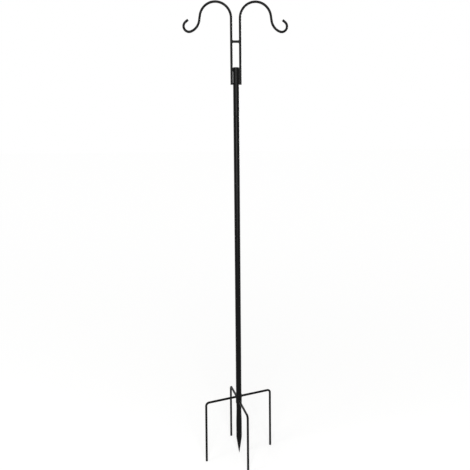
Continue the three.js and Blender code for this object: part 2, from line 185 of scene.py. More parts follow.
@dataclass(frozen=True)
class PowderCoat:
    """Mild steel, degreased and powder coated satin black, then baked.

    The powder melts into an even skin with a faint orange peel, a soft sheen along each tube
    and slightly glossier patches where it flowed out more.
    """

    deep: str = "#020202"
    thin: str = "#060606"
    ior: float = 1.2
    gloss_low: float = 0.26
    gloss_high: float = 0.34
    peel_mm: float = 2.6  # real orange peel is 1 to 2 mm across; drawn a little coarser to show
    peel_height_mm: float = 0.012
    peel_strength: float = 0.2
    patch_mm: float = 45.0
    grain_mm: float = 0.5

    def material(self) -> bpy.types.Material:
        """Returns the node material."""
        made, tree = new_material("powder_coated_steel")
        place = add_node(tree, "TexCoord").outputs["Object"]
        patch, peel, grain = (
            add_node(
                tree,
                "TexNoise",
                inputs={"Vector": place, "Scale": 1 / (size * MM), "Detail": detail},
            ).outputs["Fac"]
            for size, detail in ((self.patch_mm, 3.0), (self.peel_mm, 1.5), (self.grain_mm, 2.0))
        )
        mottle = add_node(
            tree, "Mix", {"data_type": "FLOAT"}, {"Factor": 0.4, "A": patch, "B": grain}
        )
        gloss = add_node(
            tree,
            "MapRange",
            inputs={
                "Value": patch,
                "From Min": 0.3,
                "From Max": 0.7,
                "To Min": self.gloss_low,
                "To Max": self.gloss_high,
            },
        )
        end_finish(
            tree,
            mottle.outputs["Result"],
            ((self.deep, 0.3), (self.thin, 0.72)),
            (peel, self.peel_strength, self.peel_height_mm),
            {"Roughness": gloss.outputs["Result"], "IOR": self.ior},
        )
        return made


@dataclass(frozen=True)
class GrainedBlack:
    """A black finish whose one grain gives both its colour's mottle and its relief."""

    name: str
    low: str
    high: str
    low_at: float
    high_at: float
    ior: float
    roughness: float
    grain_mm: float
    grain_detail: float
    relief_mm: float
    relief_strength: float

    def material(self) -> bpy.types.Material:
        """Returns the node material."""
        made, tree = new_material(self.name)
        place = add_node(tree, "TexCoord").outputs["Object"]
        grain = add_node(
            tree,
            "TexNoise",
            inputs={
                "Vector": place,
                "Scale": 1 / (self.grain_mm * MM),
                "Detail": self.grain_detail,
            },
        )
        end_finish(
            tree,
            grain.outputs["Fac"],
            ((self.low, self.low_at), (self.high, self.high_at)),
            (grain.outputs["Fac"], self.relief_strength, self.relief_mm),
            {"Roughness": self.roughness, "IOR": self.ior},
        )
        return made


@dataclass(frozen=True)
class CoatedWeld(GrainedBlack):
    """A gas-shielded arc weld under the same black powder.

    The powder lies thin on the crests of the ripples and pools between them, so the bead looks
    a little rougher and livelier than the tube beside it. The grain is fine spatter.
    """

    name: str = "powder_coated_weld_bead"
    low: str = "#070708"
    high: str = "#161618"
    low_at: float = 0.35
    high_at: float = 0.7
    ior: float = 1.25
    roughness: float = 0.42
    grain_mm: float = 0.9
    grain_detail: float = 4.0
    relief_mm: float = 0.06
    relief_strength: float = 0.7


@dataclass(frozen=True)
class MouldedPolyethylene(GrainedBlack):
    """An injection-moulded polyethylene end cap, spark-eroded texture, carbon black.

    It is waxy and even, duller than the paint, with a fine grain from the mould.
    """

    name: str = "moulded_black_polyethylene"
    low: str = "#09090a"
    high: str = "#131314"
    low_at: float = 0.0
    high_at: float = 1.0
    ior: float = 1.3
    roughness: float = 0.55
    grain_mm: float = 0.45
    grain_detail: float = 3.0
    relief_mm: float = 0.02
    relief_strength: float = 0.5


@dataclass(frozen=True)
class BlackOxideSteel:
    """A forged and turned steel screw, blackened in a hot oxide bath and oiled.

    The oxide is a dark conversion of the metal itself, so the head keeps a metal's tight
    highlight with fine turning rings round its axis.
    """

    axis: tuple[float, float, float]
    centre_mm: tuple[float, float, float]
    tag: str
    dark: str = "#121214"
    worn: str = "#26272a"
    bloom_mm: float = 10 / 7
    relief_strength: float = 0.5
    ring_mm: float = 0.35
    ring_height_mm: float = 0.006
    gloss_low: float = 0.28
    gloss_high: float = 0.4

    def material(self) -> bpy.types.Material:
        """Returns the node material."""
        made, tree = new_material("black_oxide_steel_" + self.tag)
        place = add_node(tree, "TexCoord").outputs["Object"]
        turn = Vector(self.axis).rotation_difference(Vector((0, 0, 1)))
        shift = -(turn @ (Vector(self.centre_mm) * MM))
        level = add_node(
            tree,
            "Mapping",
            {"vector_type": "POINT"},
            {"Vector": place, "Location": shift, "Rotation": turn.to_euler()},
        )
        rings = add_node(
            tree,
            "TexWave",
            {"wave_type": "RINGS", "rings_direction": "Z", "wave_profile": "SIN"},
            {
                "Vector": level.outputs["Vector"],
                "Scale": 1 / (self.ring_mm * MM) / WAVE_PHASE,
                "Distortion": 0.6,
            },
        )
        bloom = add_node(
            tree,
            "TexNoise",
            inputs={"Vector": place, "Scale": 1 / (self.bloom_mm * MM), "Detail": 4.0},
        )
        gloss = add_node(
            tree,
            "MapRange",
            inputs={
                "Value": bloom.outputs["Fac"],
                "From Min": 0.3,
                "From Max": 0.7,
                "To Min": self.gloss_low,
                "To Max": self.gloss_high,
            },
        )
        end_finish(
            tree,
            bloom.outputs["Fac"],
            ((self.dark, 0.4), (self.worn, 0.75)),
            (rings.outputs["Fac"], self.relief_strength, self.ring_height_mm),
            {"Metallic": 1.0, "Roughness": gloss.outputs["Result"]},
        )
        return made


# ---- Surfaces -----------------------------------------------------------------------------


def grid_quads(rows: int, columns: int, wrap_rows: bool, wrap_columns: bool) -> np.ndarray:
    """Lists the four-cornered faces of a grid of points.

    Args:
        rows: How many rows the grid has.
        columns: How many columns the grid has.
        wrap_rows: Whether the last row joins the first.
        wrap_columns: Whether the last column joins the first.

    Returns:
        Point numbers, four to a face.
    """
    index = np.arange(rows * columns).reshape(rows, columns)
    if wrap_columns:
        index = np.hstack([index, index[:, :1]])
    if wrap_rows:
        index = np.vstack([index, index[:1]])
    corners = [index[:-1, :-1], index[:-1, 1:], index[1:, 1:], index[1:, :-1]]
    return np.stack(corners, axis=-1).reshape(-1, 4)


def skin_object(name: str, points: np.ndarray, wrap_rows: bool = False) -> bpy.types.Object:
    """Makes a closed mesh from a grid of points whose columns go round.

    Rows that shrink to one point become poles. The mesh is turned outward if its volume comes
    out negative.

    Args:
        name: The object's name.
        points: Rows x columns x 3, in millimetres.
        wrap_rows: Whether the last row joins the first.

    Returns:
        The new object, at the origin.
    """
    quads = grid_quads(points.shape[0], points.shape[1], wrap_rows, True)
    mesh = bpy.data.meshes.new(name)
    mesh.from_pydata((points.reshape(-1, 3) * MM).tolist(), [], quads.tolist())
    work = bmesh.new()
    work.from_mesh(mesh)
    bmesh.ops.remove_doubles(work, verts=work.verts, dist=MERGE_DISTANCE)
    if work.calc_volume(signed=True) < 0:
        bmesh.ops.reverse_faces(work, faces=work.faces)
    work.to_mesh(mesh)
    work.free()
    made = bpy.data.objects.new(name, mesh)
    bpy.context.scene.collection.objects.link(made)
    return made


def shade(piece: bpy.types.Object) -> None:
    """Shades a piece smooth, apart from its sharp edges."""
    piece.data.polygons.foreach_set("use_smooth", [True] * len(piece.data.polygons))
    piece.data.set_sharp_from_angle(angle=math.radians(SHARP_ANGLE))


def rounded_outline(corners: list[tuple[float, float, float]], steps: int = 5) -> np.ndarray:
    """Rounds the corners of a closed outline and puts a support point beside each round.

    A corner's arc touches both its edges. Its centre lies on the corner's bisector, the radius
    over the sine of half the corner's angle away from the corner.

    Args:
        corners: Radius, height and rounding of each corner, in order round the outline.
        steps: How many steps each arc has.

    Returns:
        Points x 2, radius and height.
    """
    spots = np.array([corner[:2] for corner in corners], float)
    pieces = []
    for index, (_, _, rounding) in enumerate(corners):
        spot = spots[index]
        before = spots[index - 1] - spot
        after = spots[(index + 1) % len(spots)] - spot
        before_length, after_length = np.linalg.norm(before), np.linalg.norm(after)
        before, after = before / before_length, after / after_length
        if rounding <= 0:
            pieces.append(spot[None])
            continue
        half = math.acos(float(np.clip(before @ after, -1, 1))) / 2
        reach = min(rounding / math.tan(half), 0.45 * min(before_length, after_length))
        radius = reach * math.tan(half)
        centre = spot + (before + after) / np.linalg.norm(before + after) * radius / math.sin(half)
        start, end = spot + before * reach, spot + after * reach
        sweep = math.pi - 2 * half
        share = np.linspace(0, 1, steps + 1)[:, None]
        arc = centre + (
            np.sin((1 - share) * sweep) * (start - centre) + np.sin(share * sweep) * (end - centre)
        ) / math.sin(sweep)
        lead = spot + before * min(2.2 * reach, 0.48 * before_length)
        tail = spot + after * min(2.2 * reach, 0.48 * after_length)
        pieces.extend([lead[None], arc, tail[None]])
    return np.vstack(pieces)


def turned(outline: np.ndarray, sides: int) -> np.ndarray:
    """Turns an outline about the Z axis.

    x = radius cos angle, y = radius sin angle, z = height.

    Args:
        outline: Points x 2, radius and height.
        sides: How many columns go round.

    Returns:
        Rows x columns x 3, in millimetres.
    """
    angle = np.linspace(0, 2 * math.pi, sides, endpoint=False)
    radius, height = outline[:, :1], outline[:, 1:]
    level = np.broadcast_to(height, (len(outline), sides))
    return np.stack([radius * np.cos(angle), radius * np.sin(angle), level], axis=-1)


@dataclass
class BentLine:
    """The centre line of a rod bent in one plane, as straights and arcs in order.

    Each part has a length and a curvature. The heading grows by curvature times length, and the
    position is the integral of the heading's cosine and sine.
    """

    start: tuple[float, float]
    heading: float
    lengths: list[float] = field(default_factory=list)
    curvatures: list[float] = field(default_factory=list)

    def straight(self, length: float) -> "BentLine":
        """Adds a straight and returns the line."""
        self.lengths.append(length)
        self.curvatures.append(0.0)
        return self

    def bend(self, radius: float, degrees: float) -> "BentLine":
        """Adds an arc that turns left for positive degrees, and returns the line."""
        self.lengths.append(radius * math.radians(abs(degrees)))
        self.curvatures.append(math.copysign(1 / radius, degrees))
        return self

    @property
    def length(self) -> float:
        """The whole length of the line."""
        return sum(self.lengths)

    def stations(self, arc_step: float, straight_step: float) -> np.ndarray:
        """Chooses where along the line the rod gets a ring of points.

        Args:
            arc_step: The most between rings in a bend.
            straight_step: The most between rings on a straight.

        Returns:
            Distances along the line, rising.
        """
        places = [0.0]
        for length, curvature in zip(self.lengths, self.curvatures):
            count = math.ceil(length / (arc_step if curvature else straight_step))
            first = places[-1]
            places.extend((first + length * np.arange(1, count + 1) / count).tolist())
        return np.array(places)

    def at(self, distance: np.ndarray) -> tuple[np.ndarray, np.ndarray]:
        """Follows the line.

        Args:
            distance: Distances along the line.

        Returns:
            Points x 2 in the rod's plane, and the headings there.
        """
        lengths, bends = np.array(self.lengths), np.array(self.curvatures)
        begins = np.concatenate([[0], np.cumsum(lengths)[:-1]])
        headings = self.heading + np.concatenate([[0], np.cumsum(lengths * bends)[:-1]])
        starts = np.array([self.start], float)
        for length, bend, heading in zip(lengths, bends, headings):
            starts = np.vstack([starts, starts[-1] + self._run(length, bend, heading)])
        part = np.clip(np.searchsorted(begins, distance, side="right") - 1, 0, len(begins) - 1)
        along = distance - begins[part]
        points = starts[part] + self._run(along, bends[part], headings[part])
        return points, headings[part] + bends[part] * along

    @staticmethod
    def _run(along: np.ndarray, bend: np.ndarray, heading: np.ndarray) -> np.ndarray:
        """How far a part carries the line: along its chord, whose heading is the middle one."""
        half = np.asarray(bend * along / 2)
        chord = along * np.sinc(half / math.pi)
        return np.stack([chord * np.cos(heading + half), chord * np.sin(heading + half)], axis=-1)


def round_bar(
    line: BentLine,
    radius: float,
    azimuth: float,
    sides: int,
    edge_break: float,
    arc_step: float = 2.0,
    straight_step: float = 12.0,
) -> np.ndarray:
    """Carries a circle along a bent line, with flat ends and a broken edge round each.

    A point is the line's point plus the radius times (cosine of the angle times the line's left
    hand normal plus sine times the plane's own normal). At the ends the radius follows a quarter
    circle of the edge break and then shrinks to the middle of the flat end.

    Args:
        line: The centre line in its plane, whose first axis is the azimuth and second is Z.
        radius: The bar's radius.
        azimuth: Which way the plane's first axis points, in degrees about Z.
        sides: How many columns go round.
        edge_break: Radius of the broken edge at the ends.
        arc_step: The most between rings in a bend.
        straight_step: The most between rings on a straight.

    Returns:
        Rows x columns x 3, in millimetres.
    """
    turn = np.linspace(0, math.pi / 2, 5)
    body = line.stations(arc_step, straight_step)
    body = body[(body > 3 * edge_break) & (body < line.length - 3 * edge_break)]
    first = np.concatenate([[0.0], edge_break * (1 - np.cos(turn))])
    first_radius = np.concatenate([[0.0], radius - edge_break + edge_break * np.sin(turn)])
    supports = np.array([2.5 * edge_break])
    distance = np.concatenate(
        [first, supports, body, line.length - supports, (line.length - first)[::-1]]
    )
    width = np.concatenate(
        [first_radius, np.full(len(body) + 2, radius), first_radius[::-1]]
    )
    points, heading = line.at(distance)
    around = np.linspace(0, 2 * math.pi, sides, endpoint=False)
    across = (width[:, None] * np.cos(around))[..., None]
    beside = (width[:, None] * np.sin(around))[..., None]
    forward = np.array([math.cos(math.radians(azimuth)), math.sin(math.radians(azimuth)), 0])
    upward = np.array([0.0, 0.0, 1.0])
    plane_normal = np.cross(forward, upward)
    centre = points[:, :1] * forward + points[:, 1:] * upward
    normal = -np.sin(heading)[:, None] * forward + np.cos(heading)[:, None] * upward
    return centre[:, None] + across * normal[:, None] + beside * plane_normal


def ripple(phase: np.ndarray) -> np.ndarray:
    """The stacked-coin ripple of a weld, from 0 to 1: a sine that leans to one side."""
    lean = phase + 0.12 * np.sin(2 * math.pi * phase)
    return 0.5 + 0.5 * np.sin(2 * math.pi * lean)


def unit(vectors: np.ndarray) -> np.ndarray:
    """Scales vectors to a length of 1."""
    return vectors / np.linalg.norm(vectors, axis=-1, keepdims=True)


@dataclass(frozen=True)
class Bead:
    """How a weld bead is laid: its size, its ripples and how evenly it runs."""

    crown: float = 0.75
    ripple_height: float = 0.22
    ripple_pitch: float = 1.9
    wander: float = 0.22
    sink: float = 0.25
    rows: int = 14

    def across(
        self, first: np.ndarray, last: np.ndarray, out: np.ndarray, phase: np.ndarray
    ) -> np.ndarray:
        """Arches a bead's face between its two toes.

        With t from 0 to 1 across the bead, a point is the straight line between the toes plus
        4 t (1 - t) times (crown plus ripple) along the outward direction. The ripple's phase lags
        in the middle, so that each ripple is a crescent.

        Args:
            first: Toe on the one side, stations x 3.
            last: Toe on the other side, stations x 3.
            out: Outward unit vectors, stations x 3.
            phase: Ripple count at each station.

        Returns:
            Bead rows x stations x 3.
        """
        t = np.linspace(0, 1, self.rows)[:, None]
        arch = 4 * t * (1 - t)
        height = arch * (self.crown + self.ripple_height * (ripple(phase - 0.5 * arch) - 0.5))
        return (1 - t)[..., None] * first + t[..., None] * last + height[..., None] * out


def saddle_weld(
    bead: Bead,
    host_radius: float,
    bar_radius: float,
    host_leg: float,
    bar_leg: float,
    seed: float,
) -> np.ndarray:
    """A fillet round a bar where it stands out along +X from an upright round host.

    With angle a round the bar, the joint line is x = host cos p, y = bar sin a, z = bar cos a,
    where host sin p = bar sin a. The toe on the host lies a leg further round and up the host,
    and the toe on the bar a leg further out.

    Args:
        bead: How the bead is laid.
        host_radius: Radius of the upright host.
        bar_radius: Radius of the bar.
        host_leg: How far the bead reaches over the host.
        bar_leg: How far the bead reaches along the bar.
        seed: Shifts the bead's wander, so that no two are the same.

    Returns:
        Rows x columns x 3 about the host's axis, in millimetres, with wrapping rows.
    """
    count = round(2 * math.pi * (bar_radius + host_leg / 2) / bead.ripple_pitch)
    angle = np.linspace(0, 2 * math.pi, 9 * count, endpoint=False)
    slow, quick = np.sin(2 * angle + seed), np.sin(5 * angle + 2 * seed)
    uneven = 1 + bead.wander * (0.6 * slow + 0.4 * quick)
    over, along = host_leg * uneven, bar_leg * (2 - uneven)
    sin_a, cos_a = np.sin(angle), np.cos(angle)
    spread = np.arcsin(np.clip(bar_radius * sin_a / host_radius, -1, 1))
    far = spread + over / host_radius * sin_a
    joint_x = host_radius * np.cos(spread)
    joint = np.stack([joint_x, bar_radius * sin_a, bar_radius * cos_a], axis=-1)
    host_out = np.stack([np.cos(far), np.sin(far), 0 * far], axis=-1)
    bar_out = np.stack([0 * angle, sin_a, cos_a], axis=-1)
    host_toe = host_radius * host_out
    host_toe[:, 2] = (bar_radius + over) * cos_a
    bar_toe = joint + along[:, None] * np.array([1.0, 0, 0])
    face = bead.across(
        host_toe - bead.sink * host_out,
        bar_toe - bead.sink * bar_out,
        unit(host_out + bar_out),
        count * angle / (2 * math.pi),
    )
    joint_out = np.stack([np.cos(spread), np.sin(spread), 0 * spread], axis=-1)
    root = joint - bead.sink * (joint_out + bar_out)
    return np.concatenate([face, root[None]])


def turn_about_z(points: np.ndarray, azimuth: float) -> np.ndarray:
    """Turns points about the Z axis by degrees."""
    c, s = math.cos(math.radians(azimuth)), math.sin(math.radians(azimuth))
    return points @ np.array([[c, s, 0], [-s, c, 0], [0, 0, 1]])


# ---- Fitting a piece into the frame -------------------------------------------------------


def fit(
    piece: bpy.types.Object, node: str, body: Body, finish: bpy.types.Material
) -> None:
    """Dresses a piece, sets it in a CAD node's place and reports it.

    Args:
        piece: The finished piece.
        node: The CAD node that it stands for.
        body: The body that it rides on.
        finish: The material.
    """
    shade(piece)
    piece.data.materials.clear()
    piece.data.materials.append(finish)
    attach(piece, body.value)
    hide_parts(node)
    node_box = np.array([list(corner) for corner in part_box(node)])
    points = np.empty(len(piece.data.vertices) * 3)
    piece.data.vertices.foreach_get("co", points)
    points = points.reshape(-1, 3)
    change = np.abs(np.array([points.min(0), points.max(0)]) - node_box).max() / MM
    log.info("%s: %d points, box within %.2f mm of %s", piece.name, len(points), change, node)


def drill(piece: bpy.types.Object, tools: list[np.ndarray]) -> None:
    """Cuts round holes into a piece and removes the cutting tools.

    Args:
        piece: The piece, which becomes its own cut mesh.
        tools: Surfaces of the bars that the holes clear.
    """
    cutters = [skin_object("hole_tool", tool) for tool in tools]
    for cutter in cutters:
        hole = piece.modifiers.new("hole", "BOOLEAN")
        hole.operation, hole.solver, hole.object = "DIFFERENCE", "EXACT", cutter
    bpy.context.view_layer.update()
    finished = piece.evaluated_get(bpy.context.evaluated_depsgraph_get())
    old, piece.data = piece.data, bpy.data.meshes.new_from_object(finished)
    piece.modifiers.clear()
    bpy.data.meshes.remove(old)
    for cutter in cutters:
        bpy.data.meshes.remove(cutter.data)


# ---- Stock --------------------------------------------------------------------------------


@dataclass(frozen=True)
class Stock:
    """The tube and round bar that the stand is made from, and its heights."""

    pole_radius: float = 12.5
    pole_wall: float = 1.0
    plug_clearance: float = 0.15
    rod_radius: float = 5.0
    foot_seam: float = 521.0
    section_length: float = 507.0
    screw_below_seam: float = 22.0
    upper_screw_azimuth: float = 230.0
    middle_screw_azimuth: float = 72.0
    lower_screw_azimuth: float = 98.0
    above_hub: float = 300.0  # where the tubes get a ring of points above the hub's holes
    tube_sides: int = 96
    rod_sides: int = 40

    @property
    def bore_radius(self) -> float:
        """Inside radius of the pole."""
        return self.pole_radius - self.pole_wall

    @property
    def plug_radius(self) -> float:
        """Outside radius of a plug that slides into the pole."""
        return self.bore_radius - self.plug_clearance

    @property
    def middle_seam(self) -> float:
        """Height of the joint between the middle and upper sections."""
        return self.foot_seam + self.section_length

    @property
    def upper_seam(self) -> float:
        """Height of the joint between the upper section and the head."""
        return self.middle_seam + self.section_length


@dataclass(frozen=True)
class SwagedTube:
    """A tube whose lower end is swaged down to a plug for the tube below."""

    bottom: float
    top: float
    radius: float
    wall: float
    stock: Stock
    plug_length: float = 50.0
    swage_length: float = 4.0
    rim_round: float = 0.35

    def outline(self, rings: list[float]) -> np.ndarray:
        """The tube's closed outline.

        Through the swage the skin's radius is the plug's plus (1 - cos(pi share)) / 2 of what it
        lacks, and the bore keeps the wall's thickness behind it.

        Args:
            rings: Heights that need an extra ring of points, such as beside a hole.

        Returns:
            Points x 2, radius and height.
        """
        plug, end = self.stock.plug_radius, self.bottom - self.plug_length
        bore, wall = self.radius - self.wall, self.wall
        share = np.linspace(0, 1, 13)
        swell = (self.radius - plug) * (1 - np.cos(math.pi * share)) / 2
        rise = self.bottom + self.swage_length * share
        ends = rounded_outline(
            [
                (plug - wall, end, 0.15),
                (plug, end, 0.5),
                (plug, self.bottom - 1, 0),
            ]
        )
        rim = rounded_outline(
            [
                (self.radius, self.top - 8, 0),
                (self.radius, self.top, self.rim_round),
                (bore, self.top, self.rim_round),
                (bore, self.top - 8, 0),
            ]
        )
        outside = np.array([[self.radius, ring] for ring in sorted(rings)]).reshape(-1, 2)
        inside = np.array([[bore, ring] for ring in sorted(rings, reverse=True)]).reshape(-1, 2)
        skin = np.stack([plug + swell, rise], axis=-1)
        lining = np.stack([plug - wall + swell, rise + wall / 2], axis=-1)[::-1]
        above = np.array([[self.radius, self.bottom + self.swage_length + 1]])
        behind = np.array([[bore, self.bottom + self.swage_length + wall + 1]])
        return np.vstack([ends[1:], skin, above, outside, rim, inside, behind, lining, ends[:1]])


# ---- Pole ---------------------------------------------------------------------------------


@dataclass
class Pole:
    """The upper and middle pole sections and the lower pole."""

    stock: Stock
    paint: bpy.types.Material
    foot_end: float
    above_foot_end: float = 7.0
    screw_radius: float = 3.0
    hole_clearance: float = 0.3
    hole_band: float = 6.0

    def screw_hole(self, seam: float, azimuth: float) -> np.ndarray:
        """The surface of a bar through one wall, where a locking screw goes."""
        line = BentLine((2.0, seam - self.stock.screw_below_seam), 0.0).straight(20)
        return round_bar(line, self.screw_radius + self.hole_clearance, azimuth, 48, 0.1)

    def hole_rings(self, seam: float) -> list[float]:
        """Heights just above and below a screw's hole."""
        middle = seam - self.stock.screw_below_seam
        return [middle - self.hole_band, middle + self.hole_band]

    def build_section(
        self, name: str, node: str, body: Body, bottom: float, azimuth: float
    ) -> None:
        """Builds one swaged section with the hole for its locking screw.

        Args:
            name: What the piece is called.
            node: The CAD node that it stands for.
            body: The body that it rides on.
            bottom: Height of the joint at its foot.
            azimuth: Which way its screw points.
        """
        top = bottom + self.stock.section_length
        tube = SwagedTube(bottom, top, self.stock.pole_radius, self.stock.pole_wall, self.stock)
        outline = tube.outline(self.hole_rings(top))
        piece = skin_object(name, turned(outline, self.stock.tube_sides), wrap_rows=True)
        drill(piece, [self.screw_hole(top, azimuth)])
        fit(piece, node, body, self.paint)

    def build_lower(self, rod_holes: list[np.ndarray]) -> None:
        """Builds the lower pole, drilled for its screw and for the prong rods.

        Args:
            rod_holes: Surfaces of the bars through the hub.
        """
        stock, top = self.stock, self.stock.foot_seam
        outer, inner = stock.pole_radius, stock.bore_radius
        rim = rounded_outline(
            [
                (inner, self.foot_end, 0),
                (outer, self.foot_end, 0),
                (outer, top, 0.35),
                (inner, top, 0.35),
            ]
        )
        low_ring = self.foot_end + self.above_foot_end
        rings = sorted([*self.hole_rings(top), low_ring, stock.above_hub])
        outside = np.array([[outer, ring] for ring in rings])
        inside = np.array([[inner, ring] for ring in reversed(rings)])
        outline = np.vstack([rim[:2], outside, rim[2:], inside])
        points = turned(outline, stock.tube_sides)
        piece = skin_object("lower_pole_tube", points, wrap_rows=True)
        drill(piece, [self.screw_hole(top, stock.lower_screw_azimuth), *rod_holes])
        fit(piece, "lower_pole", Body.FOOT, self.paint)

    def build(self, rod_holes: list[np.ndarray]) -> None:
        """Builds the three tubes of the pole.

        Args:
            rod_holes: Surfaces of the bars through the hub.
        """
        stock = self.stock
        self.build_section(
            "upper_pole_tube",
            "upper_pole",
            Body.UPPER,
            stock.middle_seam,
            stock.upper_screw_azimuth,
        )
        self.build_section(
            "middle_pole_tube",
            "middle_pole",
            Body.MIDDLE,
            stock.foot_seam,
            stock.middle_screw_azimuth,
        )
        self.build_lower(rod_holes)


# ---- Head ---------------------------------------------------------------------------------


@dataclass
class Head:
    """The head tube with its cap, the two crook hooks, the bar between them and their welds."""

    stock: Stock
    paint: bpy.types.Material
    weld: bpy.types.Material
    plastic: bpy.types.Material
    tube_radius: float = 12.5
    tube_wall: float = 1.2
    tube_length: float = 198.5
    cap_flange: float = 1.6
    cap_skirt: float = 9.0
    cap_wall: float = 1.5
    seat_gap: float = 0.3
    hook_overlap: float = 67.5
    hook_gap: float = 0.65
    stem_length: float = 262.0
    crook_radius: float = 63.5
    crook_angle: float = 171.4
    hook_drop: float = 19.0
    throat_radius: float = 54.0
    throat_angle: float = 61.0
    cup_radius: float = 21.5
    cup_angle: float = 162.0
    lip: float = 13.0
    cross_bar_rise: float = 103.5
    bead_root: float = 1.2
    bead_reach: float = 4.4
    bead_end: float = 2.6
    bead_bite: float = 0.2
    upper_bead_drop: float = 5.0
    left_upper_bead: float = 14.0
    left_lower_bead: float = 7.0

    @property
    def top(self) -> float:
        """Height of the head tube's upper rim."""
        return self.stock.upper_seam + self.tube_length

    @property
    def hook_base(self) -> float:
        """Height of the hook rods' lower ends."""
        return self.top - self.hook_overlap

    @property
    def hook_offset(self) -> float:
        """How far the hook stems stand from the pole's axis."""
        return self.tube_radius + self.hook_gap + self.stock.rod_radius

    def hook_line(self) -> BentLine:
        """The centre line of a hook, from its lower end to its lip."""
        return (
            BentLine((self.hook_offset, self.hook_base), math.pi / 2)
            .straight(self.stem_length)
            .bend(self.crook_radius, -self.crook_angle)
            .straight(self.hook_drop)
            .bend(self.throat_radius, self.throat_angle)
            .bend(self.cup_radius, self.cup_angle)
            .straight(self.lip)
        )

    def build_tube(self) -> None:
        """Builds the head tube."""
        stock = self.stock
        tube = SwagedTube(stock.upper_seam, self.top, self.tube_radius, self.tube_wall, stock)
        points = turned(tube.outline([]), stock.tube_sides)
        piece = skin_object("head_tube_swaged", points, wrap_rows=True)
        fit(piece, "head_tube", Body.HEAD, self.paint)

    def build_cap(self) -> None:
        """Builds the push-in cap: a rounded flange over a hollow skirt, as a turned outline."""
        skirt = self.tube_radius - self.tube_wall - self.stock.plug_clearance
        seat = self.top + self.seat_gap
        corners = [
            (0.0, seat, 0),
            (skirt - self.cap_wall, seat, 0.3),
            (skirt - self.cap_wall, seat - self.cap_skirt, 0.2),
            (skirt, seat - self.cap_skirt, 0.5),
            (skirt, seat, 0.1),
            (self.tube_radius, seat, 0.15),
            (self.tube_radius, seat + self.cap_flange * 0.85, 0.9),
            (0.0, seat + self.cap_flange, 0),
        ]
        outline = rounded_outline(corners)
        piece = skin_object("head_tube_cap", turned(outline, self.stock.tube_sides))
        fit(piece, "head_cap", Body.HEAD, self.plastic)

    def build_hook(self, side: Side) -> None:
        """Builds one crook hook, bent from a single rod.

        Args:
            side: Which hook it is.
        """
        azimuth = 0 if side is Side.RIGHT else 180
        stock = self.stock
        points = round_bar(self.hook_line(), stock.rod_radius, azimuth, stock.rod_sides, 0.45)
        name = side.name.lower()
        piece = skin_object(name + "_crook_hook", points)
        fit(piece, name + "_hook", Body.HEAD, self.paint)

    def build_cross_bar(self) -> None:
        """Builds the bar between the stems, coped to their round.

        With angle a round the bar, y = rod cos a and z = rod sin a, and its end lies at
        x = stem - root(rod squared - y squared).
        """
        rod, sides = self.stock.rod_radius, 64
        height = self.top + self.cross_bar_rise
        stem = self.hook_offset
        angle = np.linspace(0, 2 * math.pi, sides, endpoint=False)
        side_way, up_way = rod * np.cos(angle), rod * np.sin(angle)
        reach = stem - np.sqrt(np.maximum((rod - 0.1) ** 2 - side_way**2, 0))
        share = np.concatenate([[-1.0], np.linspace(-1, 1, 25), [1.0]])[:, None]
        points = np.stack(
            [
                share * reach,
                np.broadcast_to(side_way, (len(share), sides)),
                height + np.broadcast_to(up_way, (len(share), sides)),
            ],
            axis=-1,
        )
        points[[0, -1], :, 0] = [[rod - stem], [stem - rod]]
        points[[0, -1], :, 1:] = [0, height]
        piece = skin_object("stem_cross_bar", points)
        fit(piece, "cross_bar", Body.HEAD, self.paint)

    def build_cross_bar_weld(self, side: Side) -> None:
        """Builds the fillet between the cross bar and one stem.

        Args:
            side: Which stem it is on.
        """
        rod, height = self.stock.rod_radius, self.top + self.cross_bar_rise
        bead = Bead(crown=0.5, ripple_height=0.16, ripple_pitch=1.7, sink=0.2)
        points = saddle_weld(bead, rod, rod, 1.6, 2.2, 0.7 * side.value)
        points = turn_about_z(points, 180 if side is Side.RIGHT else 0)
        points = points + np.array([side.value * self.hook_offset, 0, height])
        name = side.name.lower()
        piece = skin_object(name + "_cross_bar_fillet", points, wrap_rows=True)
        fit(piece, name + "_cross_bar_weld", Body.HEAD, self.weld)

    def groove_bead(self, facing: int, low: float, high: float, top_drop: float) -> np.ndarray:
        """A bead in one groove between the head tube and the right rod.

        At a height, the toes lie at the same distance y from the rods' plane: on the tube at
        x = root(tube squared - y squared), on the rod at x = stem - root(rod squared - y
        squared). The face arches outward between them, and the root lies where the groove
        narrows. Toward both ends everything shrinks to the root along a quarter circle.

        Args:
            facing: -1 for the groove in front, 1 for the one at the back.
            low: Height of the bead's lower end.
            high: Height of its upper end.
            top_drop: How much lower the upper end is on the rod than on the tube.

        Returns:
            Rows x columns x 3, in millimetres.
        """
        bead = Bead(crown=0.5, ripple_height=0.26, ripple_pitch=2.1, rows=14)
        cap = self.bead_end
        ends = cap * (1 - np.cos(np.linspace(0, math.pi / 2, 10)))
        count = max(8, int(8 * (high - low) / bead.ripple_pitch))
        body = np.linspace(low + cap, high - cap, count)[1:-1]
        height = np.concatenate([low + ends, body, high - ends[::-1]])
        inside = np.clip(np.minimum(height - low, high - height) / cap, 0, 1)
        swell = np.sqrt(1 - (1 - inside) ** 2)[:, None]
        uneven = 1 + 0.05 * np.sin(height * 0.55 + facing) + 0.03 * np.sin(height * 1.7)
        reach, bite = self.bead_reach * uneven, self.bead_bite
        tube_x = np.sqrt(self.tube_radius**2 - reach**2) - bite
        rod_x = self.hook_offset - np.sqrt(self.stock.rod_radius**2 - reach**2) + bite
        tube_toe = np.stack([tube_x, facing * reach, height], axis=-1)
        rod_toe = np.stack([rod_x, facing * reach, height], axis=-1)
        out = np.broadcast_to([0.0, facing, 0.0], tube_toe.shape)
        face = bead.across(tube_toe, rod_toe, out, height / bead.ripple_pitch + 0.3 * facing)
        root = np.full_like(tube_toe, self.tube_radius + self.hook_gap / 2)
